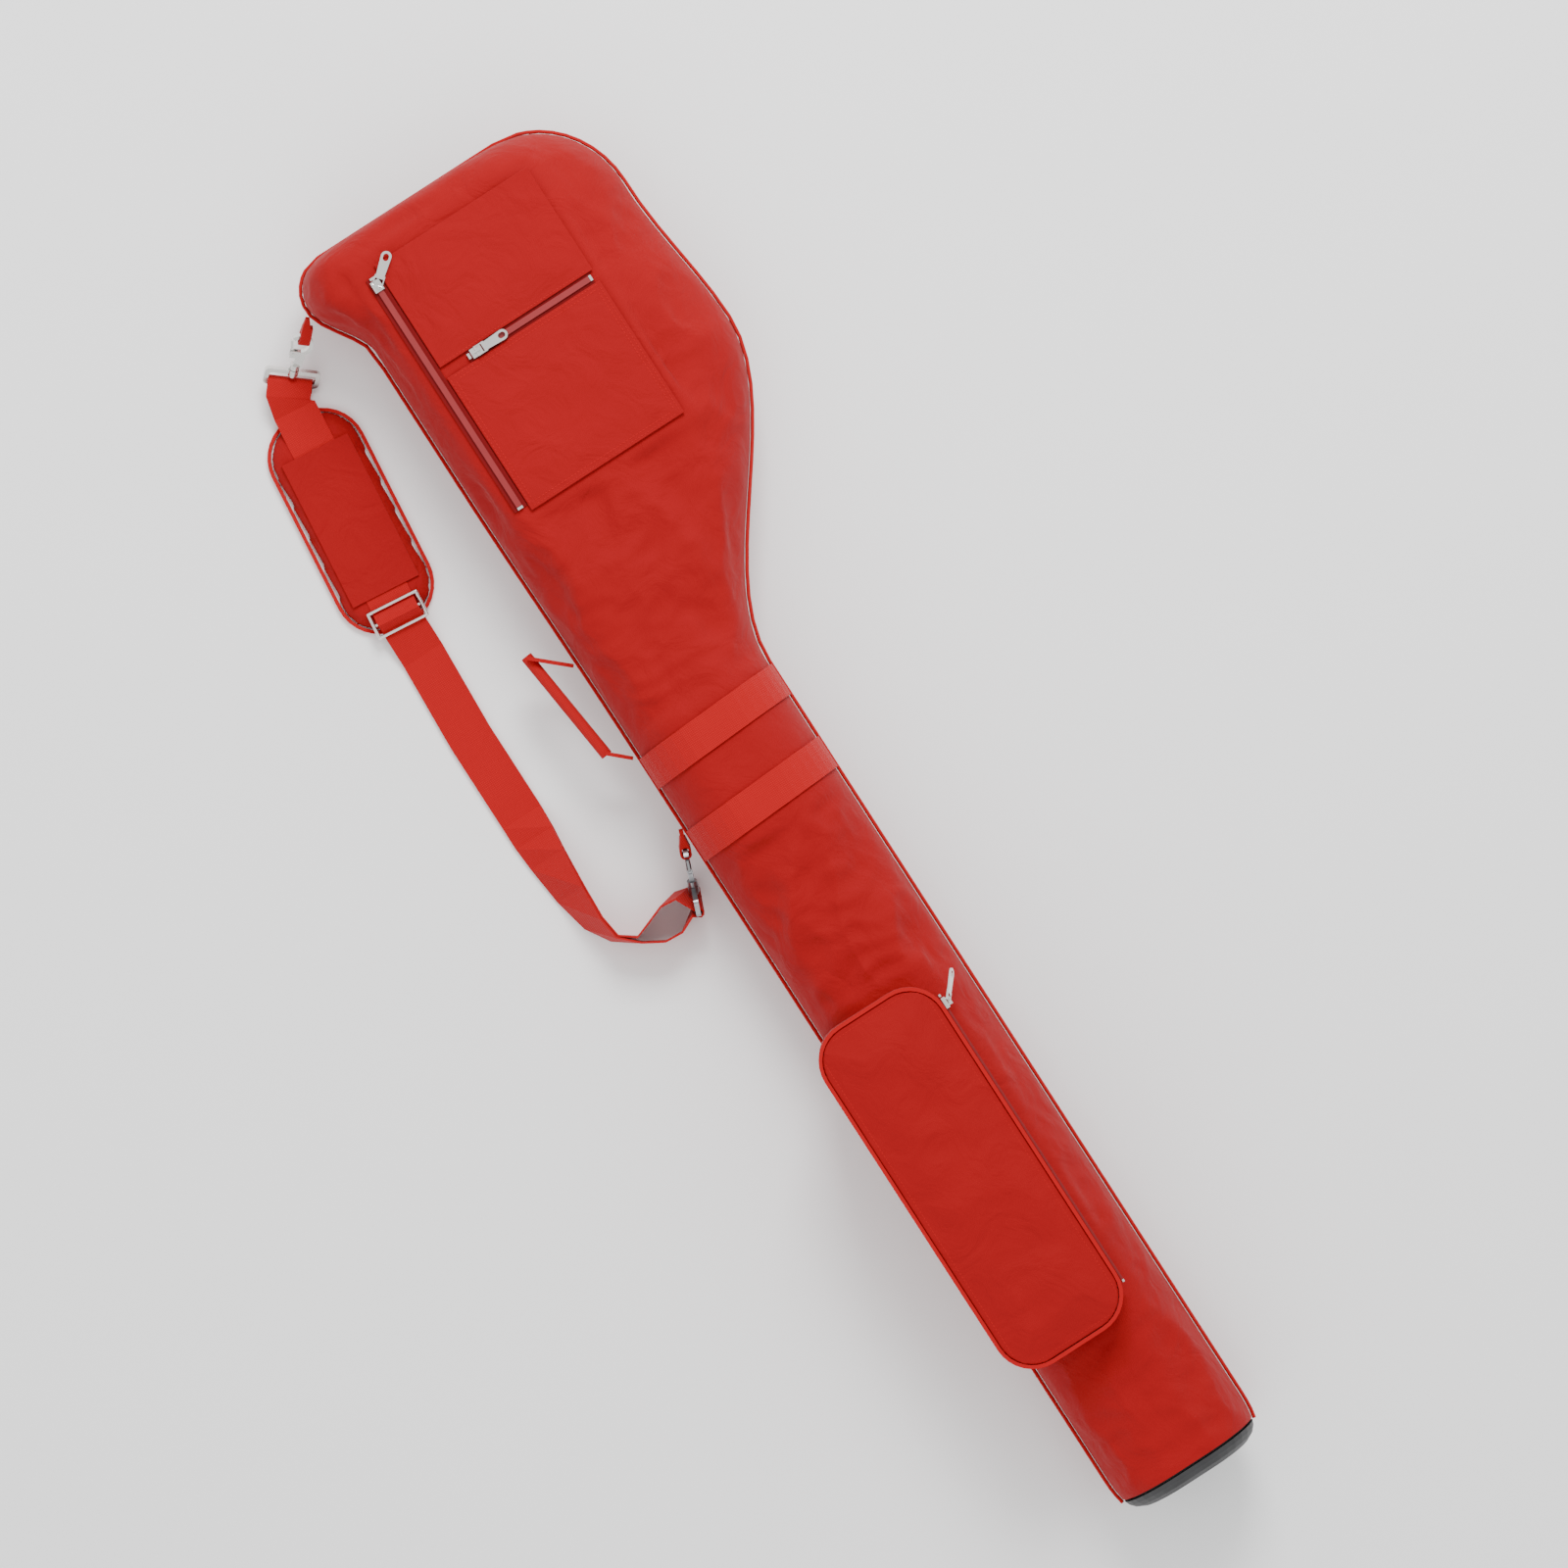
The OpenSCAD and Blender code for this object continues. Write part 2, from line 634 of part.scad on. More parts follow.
// ---- shoulder strap ----
adj_x = -342;
adj_y = -174;
strap_lean = -6;                            // the pad's heading from +X
adj_to_pad = 89;                            // from the adjuster to the pad's middle
pad_r = 38;
bind_t = 3;
web_z = pad_t + 2 * sewn + web_t / 2;       // middle of the webbing where it lies on the pad
module at_pad() {
    translate([adj_x, adj_y, 0]) rotate([0, 0, strap_lean]) translate([-pad_len / 2 + 11, 0, 0]) children();
}
module pad_plan(inset) {
    polygon(rounded_rect(pad_len - 2 * inset, pad_w - 2 * inset, pad_r - inset));
}
pad_edge_t = pad_t * 0.55;
pad_slope = 7;
module shoulder_pad() {
    color(red) at_pad() union() {
        linear_extrude(pad_edge_t) pad_plan(bind_t + sewn / 2);
        linear_extrude(pad_t) pad_plan(bind_t + pad_slope);
    }
}
module pad_binding() {
    color(bright_red) at_pad() linear_extrude(pad_edge_t) difference() {
        pad_plan(0);
        pad_plan(bind_t);
    }
}
sleeve_len = 134;
sleeve_t = 1.2;
sleeve_side = 4;
module pad_sleeve() {
    top = web_z + web_t / 2 + sewn - pad_t - sewn;
    half = strap_w / 2 + 12;
    color(red) at_pad() translate([-sleeve_len / 2, 0, pad_t + sewn]) difference() {
        translate([0, -half, 0]) cube([sleeve_len, 2 * half, top + sleeve_t]);
        translate([-1, -strap_w / 2 - sleeve_side, -1])
            cube([sleeve_len + 2, strap_w + 2 * sleeve_side, top + 1]);
    }
}

// The webbing is one strip: it is sewn round the adjuster's bar, runs to the lower hook, turns
// back over itself, threads the adjuster, crosses the pad and is sewn round the upper hook's bar.
// Each point is [x, y, z, turn, heading]: turn 0 lies flat and 90 stands on its edge.
floor_z = web_t / 2 + 0.2;
layer = web_t + 0.5;                        // from one layer's middle to the next one's
adj_z = web_z + 2.8;
adj_wire = 1.5;
adj_bar_r = 1.3;
adj_half = 11;                              // from the adjuster's bar to its outer wires
wrap_r = adj_bar_r + 0.25 + web_t / 2;
edge_z = strap_w / 2 + 0.4;
twist_x = -142;
run_y = -179;
lower_run = [
    [adj_x + 40, adj_y - 1, floor_z, 0, 0], [adj_x + 120, run_y, floor_z, 0, 0],
    [twist_x, run_y, floor_z, 0, 0], [-121, run_y, 0, 16, 0], [-100, run_y, 0, 32, 0],
    [-65, run_y + 1, 0, 48, 0], [-34, run_y + 4, 0, 64, 0], [-14, run_y + 12, 0, 80, 0]];
function strip_side(p) = [-sin(p[4]) * cos(p[3]), cos(p[4]) * cos(p[3]), sin(p[3])];
function middle(p) = [p[0], p[1], max(p[2], strap_w / 2 * sin(abs(p[3])) + floor_z)];
inner_strand = [[-4, -151, edge_z, 90, 0], [-9, -137, edge_z, 90, 0], [-15, -121, edge_z, 90, 0],
    [-16, -106, edge_z + 2, 82, lower_yaw + 90]];
outer_strand = [[4, -102, edge_z + 2, 82, lower_yaw + 90], [13, -117, edge_z, 90, 0],
    [12, -133, edge_z, 90, 0], [2, -150, edge_z, 90, 0]];
// Half turn round the lower hook's bar, which leans with the hook.
bar_gap = wire_r * sqrt(2) + 0.8 + web_t / 2;
bar_turn = 90 + lower_pitch;
lower_dir = hook_dir(lower_yaw, lower_pitch);
lower_across = [sin(lower_yaw), -cos(lower_yaw), 0];
bar_wrap = [for (a = [-41:40:159])
    let (p = lower_bar + bar_gap * (cos(a) * lower_dir + sin(a) * lower_across))
    [p[0], p[1], p[2], bar_turn, lower_yaw + 90]];
upper_turn = -15;
upper_heading = -39;
upper_side = [-sin(upper_heading), cos(upper_heading)];
upper_ahead = [-upper_side[1], upper_side[0]];
function by_upper(a, z) = [upper_bar[0] + a * upper_ahead[0], upper_bar[1] + a * upper_ahead[1],
    upper_bar[2] + z, upper_turn, upper_heading];
function on_pad(d, z) = [adj_x - d * cos(strap_lean), adj_y - d * sin(strap_lean), z, 0, strap_lean];
sewn_end = concat(
    [for (a = [60:60:240]) [adj_x + wrap_r * cos(a), adj_y, adj_z + wrap_r * sin(a), 0, strap_lean]],
    [[adj_x + adj_half, adj_y - 0.5, adj_z - 5.2, 0, strap_lean / 2]]);
through_adjuster = [
    [adj_x + adj_half + 1, adj_y - 0.5, adj_z - 2.9, 0, strap_lean / 2],
    [adj_x + 8.4, adj_y, adj_z - 2.3, 0, strap_lean], [adj_x + 5.6, adj_y, adj_z + 0.6, 0, strap_lean],
    [adj_x + 1.5, adj_y, adj_z + wrap_r + layer - 0.3, 0, strap_lean],
    on_pad(2, adj_z + wrap_r + layer - 0.5), on_pad(5.6, adj_z + 0.6), on_pad(8.4, adj_z - 2.3),
    on_pad(adj_half + 1, adj_z - 2.9)];
over_pad = [on_pad(24, web_z), on_pad(adj_half + pad_len - 18, web_z), by_upper(-14, bar_gap)];
sewn_tail = [by_upper(0, bar_gap), by_upper(bar_gap * 0.8, bar_gap * 0.6), by_upper(bar_gap, 0),
    by_upper(bar_gap * 0.8, -bar_gap * 0.6), by_upper(0, -bar_gap), by_upper(-7, -bar_gap + 1.4)];
function strip_dir(p, i) = unit(middle(p[min(i + 1, len(p) - 1)]) - middle(p[max(i - 1, 0)]));
function lifted(p, n) = [for (i = [0:len(p) - 1])
    let (c = middle(p[i]) + n * unit(cross(strip_dir(p, i), strip_side(p[i]))))
    [c[0], c[1], c[2], p[i][3], p[i][4]]];
strip = concat(sewn_end, lower_run, inner_strand, bar_wrap, outer_strand,
    reversed(lifted(lower_run, layer)), through_adjuster, over_pad, sewn_tail);
module strap_webbing() {
    rings = [for (i = [0:len(strip) - 1])
        let (c = middle(strip[i]), w = strip_side(strip[i]) * strap_w / 2,
            n = unit(cross(strip_dir(strip, i), w)) * web_t / 2)
        [c - w - n, c + w - n, c + w + n, c - w + n]];
    color(bright_red) skin([for (r = rings) reversed(r)]);
}
module slide_adjuster() {
    half = strap_w / 2 + 3.4;
    color(nickel) translate([adj_x, adj_y, adj_z]) rotate([0, 0, strap_lean])
        difference() {
            rod_ring([[-adj_half, -half, 0], [adj_half, -half, 0], [adj_half, half, 0],
                [-adj_half, half, 0]], adj_wire);
            rotate([90, 0, 0]) cylinder(h = 4 * half, r = adj_bar_r - 0.5, center = true, $fn = 24);
        }
}
module adjuster_bar() {
    half = strap_w / 2 + 3.4 - adj_wire - 0.05;
    color(nickel) translate([adj_x, adj_y, adj_z]) rotate([0, 0, strap_lean]) rotate([90, 0, 0])
        cylinder(h = 2 * half, r = adj_bar_r, center = true, $fn = 24);
}

front_panel();
back_panel();
side_piping();
base_cap();
base_board();
upper_band();
lower_band();
carry_handle();
head_pocket_top();
head_pocket_bottom();
main_zip_tape();
main_zip_coil();
main_zip_stops();
main_zip_slider();
main_zip_puller();
head_pocket_zip_tape();
head_pocket_zip_coil();
head_pocket_zip_stops();
head_pocket_zip_slider();
head_pocket_zip_puller();
accessory_pocket_gusset();
accessory_pocket_front();
accessory_pocket_piping();
accessory_zip_tape();
accessory_zip_coil();
accessory_zip_stops();
accessory_zip_slider();
accessory_zip_puller();
upper_anchor_loop();
upper_hook_eye();
upper_hook_body();
upper_hook_gate();
upper_gate_pin();
lower_anchor_loop();
lower_hook_eye();
lower_hook_body();
lower_hook_gate();
lower_gate_pin();
strap_webbing();
slide_adjuster();
adjuster_bar();
shoulder_pad();
pad_binding();
pad_sleeve();
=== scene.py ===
"""Soft-sided carry bag: looks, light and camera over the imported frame. Metres, row frame."""
import json
import math
import bpy
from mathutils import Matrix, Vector, noise

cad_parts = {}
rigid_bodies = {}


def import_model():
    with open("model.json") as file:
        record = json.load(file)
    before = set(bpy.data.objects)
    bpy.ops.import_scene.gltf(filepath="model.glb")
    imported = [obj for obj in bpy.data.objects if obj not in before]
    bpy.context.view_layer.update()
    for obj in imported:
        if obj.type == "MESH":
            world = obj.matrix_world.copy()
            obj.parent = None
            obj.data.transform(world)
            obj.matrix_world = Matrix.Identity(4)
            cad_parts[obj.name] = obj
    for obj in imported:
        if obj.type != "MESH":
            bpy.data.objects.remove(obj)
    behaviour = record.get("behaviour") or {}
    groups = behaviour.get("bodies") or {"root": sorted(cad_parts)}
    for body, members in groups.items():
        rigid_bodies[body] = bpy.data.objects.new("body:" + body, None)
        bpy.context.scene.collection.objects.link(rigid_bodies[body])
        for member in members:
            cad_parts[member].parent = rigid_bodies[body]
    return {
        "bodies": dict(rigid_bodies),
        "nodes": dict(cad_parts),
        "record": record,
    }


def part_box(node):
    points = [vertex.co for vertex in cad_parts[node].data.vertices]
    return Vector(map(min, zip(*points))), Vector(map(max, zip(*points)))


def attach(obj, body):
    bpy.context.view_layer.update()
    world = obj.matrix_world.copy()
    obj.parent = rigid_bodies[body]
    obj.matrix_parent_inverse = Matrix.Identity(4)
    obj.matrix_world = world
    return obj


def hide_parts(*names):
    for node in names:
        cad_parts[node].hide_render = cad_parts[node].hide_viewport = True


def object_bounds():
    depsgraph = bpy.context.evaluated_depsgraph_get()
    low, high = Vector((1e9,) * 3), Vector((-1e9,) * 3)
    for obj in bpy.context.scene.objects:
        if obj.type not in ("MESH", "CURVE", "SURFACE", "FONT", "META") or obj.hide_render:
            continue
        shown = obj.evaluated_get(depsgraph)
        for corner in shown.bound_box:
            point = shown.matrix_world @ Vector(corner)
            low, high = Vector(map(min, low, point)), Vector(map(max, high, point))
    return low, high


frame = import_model()
cad_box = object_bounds()
FLOOR_Z = cad_box[0][2]

# ---------------------------------------------------------------- materials
def node(tree, kind, **sockets):
    """A shader node with some of its sockets set; an underscore stands for a space."""
    n = tree.nodes.new(kind)
    for key, value in sockets.items():
        n.inputs[key.replace("_", " ")].default_value = value
    return n

MIX_FACTOR, MIX_A, MIX_B, MIX_RESULT = 0, 6, 7, 2  # the Mix node's colour sockets

def mix_colour(tree, factor, a, b):
    """Colour a blended to b, which is a colour or another node's output."""
    m = tree.nodes.new("ShaderNodeMix")
    m.data_type = "RGBA"
    tree.links.new(factor, m.inputs[MIX_FACTOR])
    m.inputs[MIX_A].default_value = (*a, 1)
    if isinstance(b, tuple):
        m.inputs[MIX_B].default_value = (*b, 1)
    else:
        tree.links.new(b, m.inputs[MIX_B])
    return m.outputs[MIX_RESULT]

def start(name, rough, metal=0.0):
    """A new material with its tree, its shader and object coordinates, which need no UVs."""
    mat = bpy.data.materials.new(name)
    mat.use_nodes = True
    tree = mat.node_tree
    shader = tree.nodes["Principled BSDF"]
    shader.inputs["Roughness"].default_value = rough
    shader.inputs["Metallic"].default_value = metal
    where = tree.nodes.new("ShaderNodeTexCoord").outputs["Object"]
    return mat, tree, shader, where

WAVE_PER_PITCH = 0.314  # Wave texture scale times the distance between its bands, in metres
CLOTH_SPECULAR = 0.18
YARN_GAP_SHADE = 0.82
CREASE_DEPTH = 0.006
YARN_DEPTH = 0.4  # share of the pitch

def cloth(name, dark, light, pitch, bump=0.25, rough=0.82, sheen=0.04, creases=0.55):
    """Woven cloth: crossing yarns at the real pitch, soft creases, mottled dye."""
    mat, tree, shader, where = start(name, rough)
    shader.inputs["Sheen Weight"].default_value = sheen
    shader.inputs["Specular IOR Level"].default_value = CLOTH_SPECULAR
    shader.inputs["Sheen Roughness"].default_value = 0.5
    yarns = []
    for axis in ("X", "Y"):
        w = node(tree, "ShaderNodeTexWave", Scale=WAVE_PER_PITCH / pitch, Distortion=0.6)
        w.bands_direction = axis
        tree.links.new(where, w.inputs["Vector"])
        yarns.append(w.outputs["Fac"])
    weave = tree.nodes.new("ShaderNodeMath")
    weave.operation = "MULTIPLY"
    for i, y in enumerate(yarns):
        tree.links.new(y, weave.inputs[i])
    dye = node(tree, "ShaderNodeTexNoise", Scale=14.0, Detail=6.0)
    crease = node(tree, "ShaderNodeTexNoise", Scale=26.0, Detail=4.0, Distortion=1.2)
    for n in (dye, crease):
        tree.links.new(where, n.inputs["Vector"])
    tone = mix_colour(tree, dye.outputs["Fac"], dark, light)
    deep = tuple(c * YARN_GAP_SHADE for c in dark)
    tree.links.new(mix_colour(tree, weave.outputs[0], deep, tone), shader.inputs["Base Color"])
    big = node(tree, "ShaderNodeBump", Strength=creases, Distance=CREASE_DEPTH)
    tree.links.new(crease.outputs["Fac"], big.inputs["Height"])
    fine = node(tree, "ShaderNodeBump", Strength=bump, Distance=pitch * YARN_DEPTH)
    tree.links.new(weave.outputs[0], fine.inputs["Height"])
    tree.links.new(big.outputs[0], fine.inputs["Normal"])
    tree.links.new(fine.outputs[0], shader.inputs["Normal"])
    return mat

def hard(name, colour, worn, rough, metal):
    """Metal or moulded finish with fine scratches and lightly worn patches."""
    mat, tree, shader, where = start(name, rough, metal)
    marks = node(tree, "ShaderNodeTexNoise", Scale=420.0, Detail=5.0)
    patch = node(tree, "ShaderNodeTexNoise", Scale=60.0, Detail=3.0)
    for n in (marks, patch):
        tree.links.new(where, n.inputs["Vector"])
    tree.links.new(mix_colour(tree, patch.outputs["Fac"], colour, worn), shader.inputs["Base Color"])
    b = node(tree, "ShaderNodeBump", Strength=0.12, Distance=0.0003)
    tree.links.new(marks.outputs["Fac"], b.inputs["Height"])
    tree.links.new(b.outputs[0], shader.inputs["Normal"])
    return mat

looks = {
    "fabric": cloth("fabric", (0.30, 0.0012, 0.003), (0.46, 0.002, 0.005), 0.0009),
    "piping": cloth("piping", (0.42, 0.002, 0.004), (0.56, 0.003, 0.006), 0.0008, creases=0.1),
    "webbing": cloth("webbing", (0.42, 0.0016, 0.003), (0.56, 0.003, 0.006), 0.0016,
                     bump=0.5, rough=0.75, sheen=0.05, creases=0.12),
    "zip_tape": cloth("zip_tape", (0.16, 0.001, 0.002), (0.24, 0.002, 0.004), 0.0007, creases=0.05),
    "zip_coil": hard("zip_coil", (0.18, 0.002, 0.004), (0.26, 0.004, 0.006), 0.45, 0.0),
    "base": hard("base", (0.010, 0.010, 0.011), (0.03, 0.03, 0.032), 0.55, 0.0),
    "board": hard("board", (0.03, 0.03, 0.03), (0.06, 0.06, 0.06), 0.8, 0.0),
    "nickel": hard("nickel", (0.62, 0.61, 0.59), (0.78, 0.77, 0.74), 0.24, 1.0),
    "dark_nickel": hard("dark_nickel", (0.22, 0.22, 0.23), (0.36, 0.36, 0.37), 0.3, 1.0),
    "thread": cloth("thread", (0.48, 0.003, 0.005), (0.62, 0.006, 0.01), 0.0004, creases=0.0),
}

# ---------------------------------------------------------------- shared shapes
MM = 0.001
HEAD_X = -625
NECK_X0 = -139  # the tube's straight sides end here
NECK_X1 = -399  # the head is full width from here
NECK_LEN = NECK_X0 - NECK_X1
PANEL_END = 611
MID_Z = 58
TUBE_HALF = 66
HEAD_BULGE = 194
HEAD_STRAP = 69
BULGE_TAPER = (12, 135.6)  # how far the bulge comes in towards the head end, over what length
LOBE = (28, -533, 62)  # the strap-side corner's reach outward, where it starts and its length
BULGE_CORNER = (75, 82)  # how much the corner takes off, and its radius
STRAP_CORNER = (30, 30)
BASE_TAPER = (5, 589, 28)
CROWN_START = -595
CROWN_LEN = 30
CROWN_SHUT = 0.93
TUBE_ROUND = 50
HEAD_ROUND_STRAP = 30
HEAD_ROUND_BULGE = 76
slots = {s["node"]: s["material_slot"] for s in frame["record"]["subparts"]}

def body_holding(obj):
    """The name of the frame body that carries this CAD node."""
    names = {empty.name: body for body, empty in frame["bodies"].items()}
    while obj.name not in names:
        obj = obj.parent
    return names[obj.name]

owner = {n: body_holding(o) for n, o in frame["nodes"].items()}

def clamp(v):
    return min(1.0, max(0.0, v))

def smooth(v):
    v = clamp(v)
    return v * v * (3 - 2 * v)

def mix(a, b, k):
    return a + (b - a) * k

def corner(x, r):
    """0 to 1 round a head-end corner of radius r."""
    return 1 - math.sqrt(1 - clamp((HEAD_X + r - x) / r) ** 2)

def base_in(x):
    """How far the skin turns in where it meets the base."""
    depth, begins, run = BASE_TAPER
    return depth * (1 - math.sqrt(1 - clamp((x - begins) / run) ** 2))

def head_k(x):
    """0 on the tube, 1 on the head."""
    return smooth((NECK_X0 - x) / NECK_LEN)

def y_bulge(x):
    """The seam on the bulging side."""
    taper, run = BULGE_TAPER
    cut, radius = BULGE_CORNER
    side = mix(TUBE_HALF, HEAD_BULGE, head_k(x)) - taper * smooth((NECK_X1 - x) / run)
    return side - cut * corner(x, radius) - base_in(x)

def y_strap(x):
    """The seam on the strap's side."""
    reach, begins, run = LOBE
    cut, radius = STRAP_CORNER
    side = -mix(TUBE_HALF, HEAD_STRAP, head_k(x)) - reach * smooth((begins - x) / run)
    return side + cut * corner(x, radius) + base_in(x)

def half_h(x):
    """Half the depth, closing over the head end."""
    shut = CROWN_SHUT * clamp((CROWN_START - x) / CROWN_LEN)
    return (MID_Z - base_in(x)) * (1 - shut ** 3) ** (1 / 3)

def rim(x, side, count):
    """Half the section at x, seam to seam, side +1 above the seam and -1 below."""
    k, h = head_k(x), half_h(x)
    ys, yb = y_strap(x), y_bulge(x)
    rs, rb = mix(TUBE_ROUND, HEAD_ROUND_STRAP, k), mix(TUBE_ROUND, HEAD_ROUND_BULGE, k)
    turn = count // 3
    out = []
    for i in range(turn):
        a = math.pi / 2 * i / turn
        out.append((x, ys + rs * (1 - math.cos(a)), MID_Z + side * h * math.sin(a)))
    for i in range(turn + 1):
        out.append((x, mix(ys + rs, yb - rb, i / turn), MID_Z + side * h))
    for i in range(1, turn + 1):
        a = math.pi / 2 * (1 - i / turn)
        out.append((x, yb - rb * (1 - math.cos(a)), MID_Z + side * h * math.sin(a)))
    return out

# x and y ranges under the head pocket, the ball pocket and the neck bands
COVERED = ((-600, -345, -50, 124), (140, 482, -90, 40), (-140, -22, -80, 80))
COVER_EASE = 14

def covered(x, y):
    """1 where another panel lies on the front, easing to 0 outside it."""
    inside = 0.0
    for x0, x1, y0, y1 in COVERED:
        gap = max(x0 - x, x - x1, y0 - y, y - y1, 0)
        inside = max(inside, 1 - smooth(gap / COVER_EASE))
    return inside

FOLD_DEPTH = 13.0
PUCKER_DEPTH = 4.0

def slack(x, y, z):
    """How far the cloth falls inward, in mm: long soft folds plus small puckers."""
    p = Vector((x * 0.012, y * 0.021, z * 0.02))
    folds = abs(noise.noise(p + Vector((3, 7, 1)))) * FOLD_DEPTH
    puckers = abs(noise.noise(Vector((x * 0.05, y * 0.03, z * 0.05)))) * PUCKER_DEPTH
    return folds + puckers

def mesh_object(name, points, faces, mat, body):
    """A smooth-shaded piece from points in millimetres, riding on a body."""
    mesh = bpy.data.meshes.new(name)
    mesh.from_pydata([tuple(c * MM for c in p) for p in points], [], faces)
    mesh.validate()
    mesh.shade_smooth()
    mesh.materials.append(looks[mat])
    obj = bpy.data.objects.new(name, mesh)
    bpy.context.scene.collection.objects.link(obj)
    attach(obj, body)
    return obj

STATIONS = 331
RIM_POINTS = 96
END_INSET = 0.4
SAG_EASE = 20
SEAM_EASE = 5

def shell(name, side, replaced):
    """Half the bag's skin, lofted from head to base and sagged between its seams."""
    stations = [mix(HEAD_X + END_INSET, PANEL_END, i / (STATIONS - 1)) for i in range(STATIONS)]
    points = []
    for x in stations:
        row = rim(x, side, RIM_POINTS)
        for j, (px, py, pz) in enumerate(row):
            t = j / (len(row) - 1)
            ease = min(1, SEAM_EASE * t, SEAM_EASE * (1 - t))
            ease = ease * smooth((PANEL_END - x) / SAG_EASE) * smooth((x - HEAD_X) / SAG_EASE)
            keep = covered(px, py) if side > 0 else 0.0
            fall = slack(px, py, pz * side) * ease * (1 - keep)
            cy = mix(y_strap(x), y_bulge(x), 0.5)
            way = Vector((0, cy - py, MID_Z - pz))
            way = way.normalized() if way.length > 1 else way
            points.append((px, py + way.y * fall, pz + way.z * fall))
    n = len(rim(0, side, RIM_POINTS))
    faces = []
    for i in range(len(stations) - 1):
        for j in range(n - 1):
            q = (i * n + j, i * n + j + 1, (i + 1) * n + j + 1, (i + 1) * n + j)
            faces.append(q if side < 0 else q[::-1])
    faces.append(tuple(range(n)))
    obj = mesh_object(name, points, faces, "fabric", "bag")
    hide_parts(replaced)
    return obj

shell("front_skin", 1, "front_panel")
shell("back_skin", -1, "back_panel")

# ---------------------------------------------------------------- padded and soft pieces
SWELL_FRAMES = 12

def swell_cloth(obj, pressure, cap):
    """Blows the cloth up without gravity; no point moves past cap or below the floor."""
    before = [v.co.copy() for v in obj.data.vertices]
    sim = obj.modifiers.new("cloth", "CLOTH")
    sim.settings.use_pressure = True
    sim.settings.uniform_pressure_force = pressure
    sim.settings.effector_weights.gravity = 0
    for f in range(1, SWELL_FRAMES + 1):
        bpy.context.scene.frame_set(f)
    bpy.ops.object.modifier_apply(modifier=sim.name)
    for v, was in zip(obj.data.vertices, before):
        step = v.co - was
        if step.length > cap:
            v.co = was + step.normalized() * cap
        v.co.z = max(v.co.z, FLOOR_Z)
    bpy.context.scene.frame_set(1)

def soft_copy(cad, name, voxel):
    """A CAD solid remeshed evenly, ready to be shaped as cloth. It is left selected and active."""
    src = frame["nodes"][cad]
    obj = bpy.data.objects.new(name, src.data.copy())
    bpy.context.scene.collection.objects.link(obj)
    obj.data.materials.clear()
    obj.data.materials.append(looks[slots[cad]])
    bpy.context.view_layer.objects.active = obj
    obj.select_set(True)
    mod = obj.modifiers.new("remesh", "REMESH")
    mod.mode, mod.voxel_size = "VOXEL", voxel
    mod.use_smooth_shade = True
    bpy.ops.object.modifier_apply(modifier=mod.name)
    return obj

def settle(obj, cad):
    """Shades a finished soft piece and puts it in its CAD node's place."""
    obj.data.shade_smooth()
    obj.select_set(False)
    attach(obj, owner[cad])
    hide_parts(cad)

PAD_VOXEL = 0.003
PAD_PRESSURE = 3.0
PAD_CAP = 0.0015

def shoulder_pad():
    """The strap's pad, lightly filled."""
    pad = soft_copy("shoulder_pad", "pad_body", PAD_VOXEL)
    swell_cloth(pad, PAD_PRESSURE, PAD_CAP)
    settle(pad, "shoulder_pad")

shoulder_pad()

PANEL_VOXEL = 0.0012

def puffed(cad, name, rise, rim_width):
    """A flat sewn panel remade with a soft, uneven fill, pinned down along its seams."""
    obj = soft_copy(cad, name, PANEL_VOXEL)
    low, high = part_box(cad)
    for v in obj.data.vertices:
        edge = min(v.co.x - low[0], high[0] - v.co.x, v.co.y - low[1], high[1] - v.co.y)
        hold = smooth(edge / rim_width)
        lump = 0.75 + 0.5 * noise.noise(Vector((v.co.x * 17, v.co.y * 24, 2)))
        fold = 0.25 * noise.noise(Vector((v.co.x * 45, v.co.y * 30, 9)))
        v.co.z += rise * hold * (lump + fold)
    settle(obj, cad)

puffed("head_pocket_top", "pocket_top_cloth", 0.0016, 0.03)
puffed("head_pocket_bottom", "pocket_bottom_cloth", 0.0018, 0.03)
puffed("accessory_pocket_front", "accessory_front_cloth", 0.0065, 0.035)

# ---------------------------------------------------------------- stitching
STITCH_PITCH = 3.2
STITCH_LENGTH = 2.3
THREAD_RADIUS = 0.32
THREAD_SIDES = 6
THREAD_RINGS = ((-0.5, 0.35), (-0.25, 1), (0.25, 1), (0.5, 0.35))  # place along, share of the radius

def stitch(centre, along, points, faces):
    """Adds one strand of thread, swollen in the middle and closed at both ends."""
    across = Vector((-along.y, along.x, 0))
    up = Vector((0, 0, 1))
    base = len(points)
    for place, swell in THREAD_RINGS:
        for side in range(THREAD_SIDES):
            t = math.tau * side / THREAD_SIDES
            off = across * math.cos(t) + up * math.sin(t)
            points.append(centre + along * (place * STITCH_LENGTH) + off * THREAD_RADIUS * swell)
    last = len(THREAD_RINGS) - 1
    for ring in range(last):
        for side in range(THREAD_SIDES):
            p = base + ring * THREAD_SIDES + side
            q = base + ring * THREAD_SIDES + (side + 1) % THREAD_SIDES
            faces.append((p, q, q + THREAD_SIDES, p + THREAD_SIDES))
    faces.append(tuple(base + k for k in reversed(range(THREAD_SIDES))))
    faces.append(tuple(base + last * THREAD_SIDES + k for k in range(THREAD_SIDES)))

def seam(name, path):
    """A row of thread stitches along straight runs."""
    points, faces = [], []
    for a, b in zip(path, path[1:]):
        a, b = Vector(a), Vector(b)
        along = (b - a).normalized()
        for i in range(int((b - a).length / STITCH_PITCH)):
            stitch(a + along * (STITCH_PITCH * (i + 0.5)), along, points, faces)
    return mesh_object(name, points, faces, "thread", "bag")

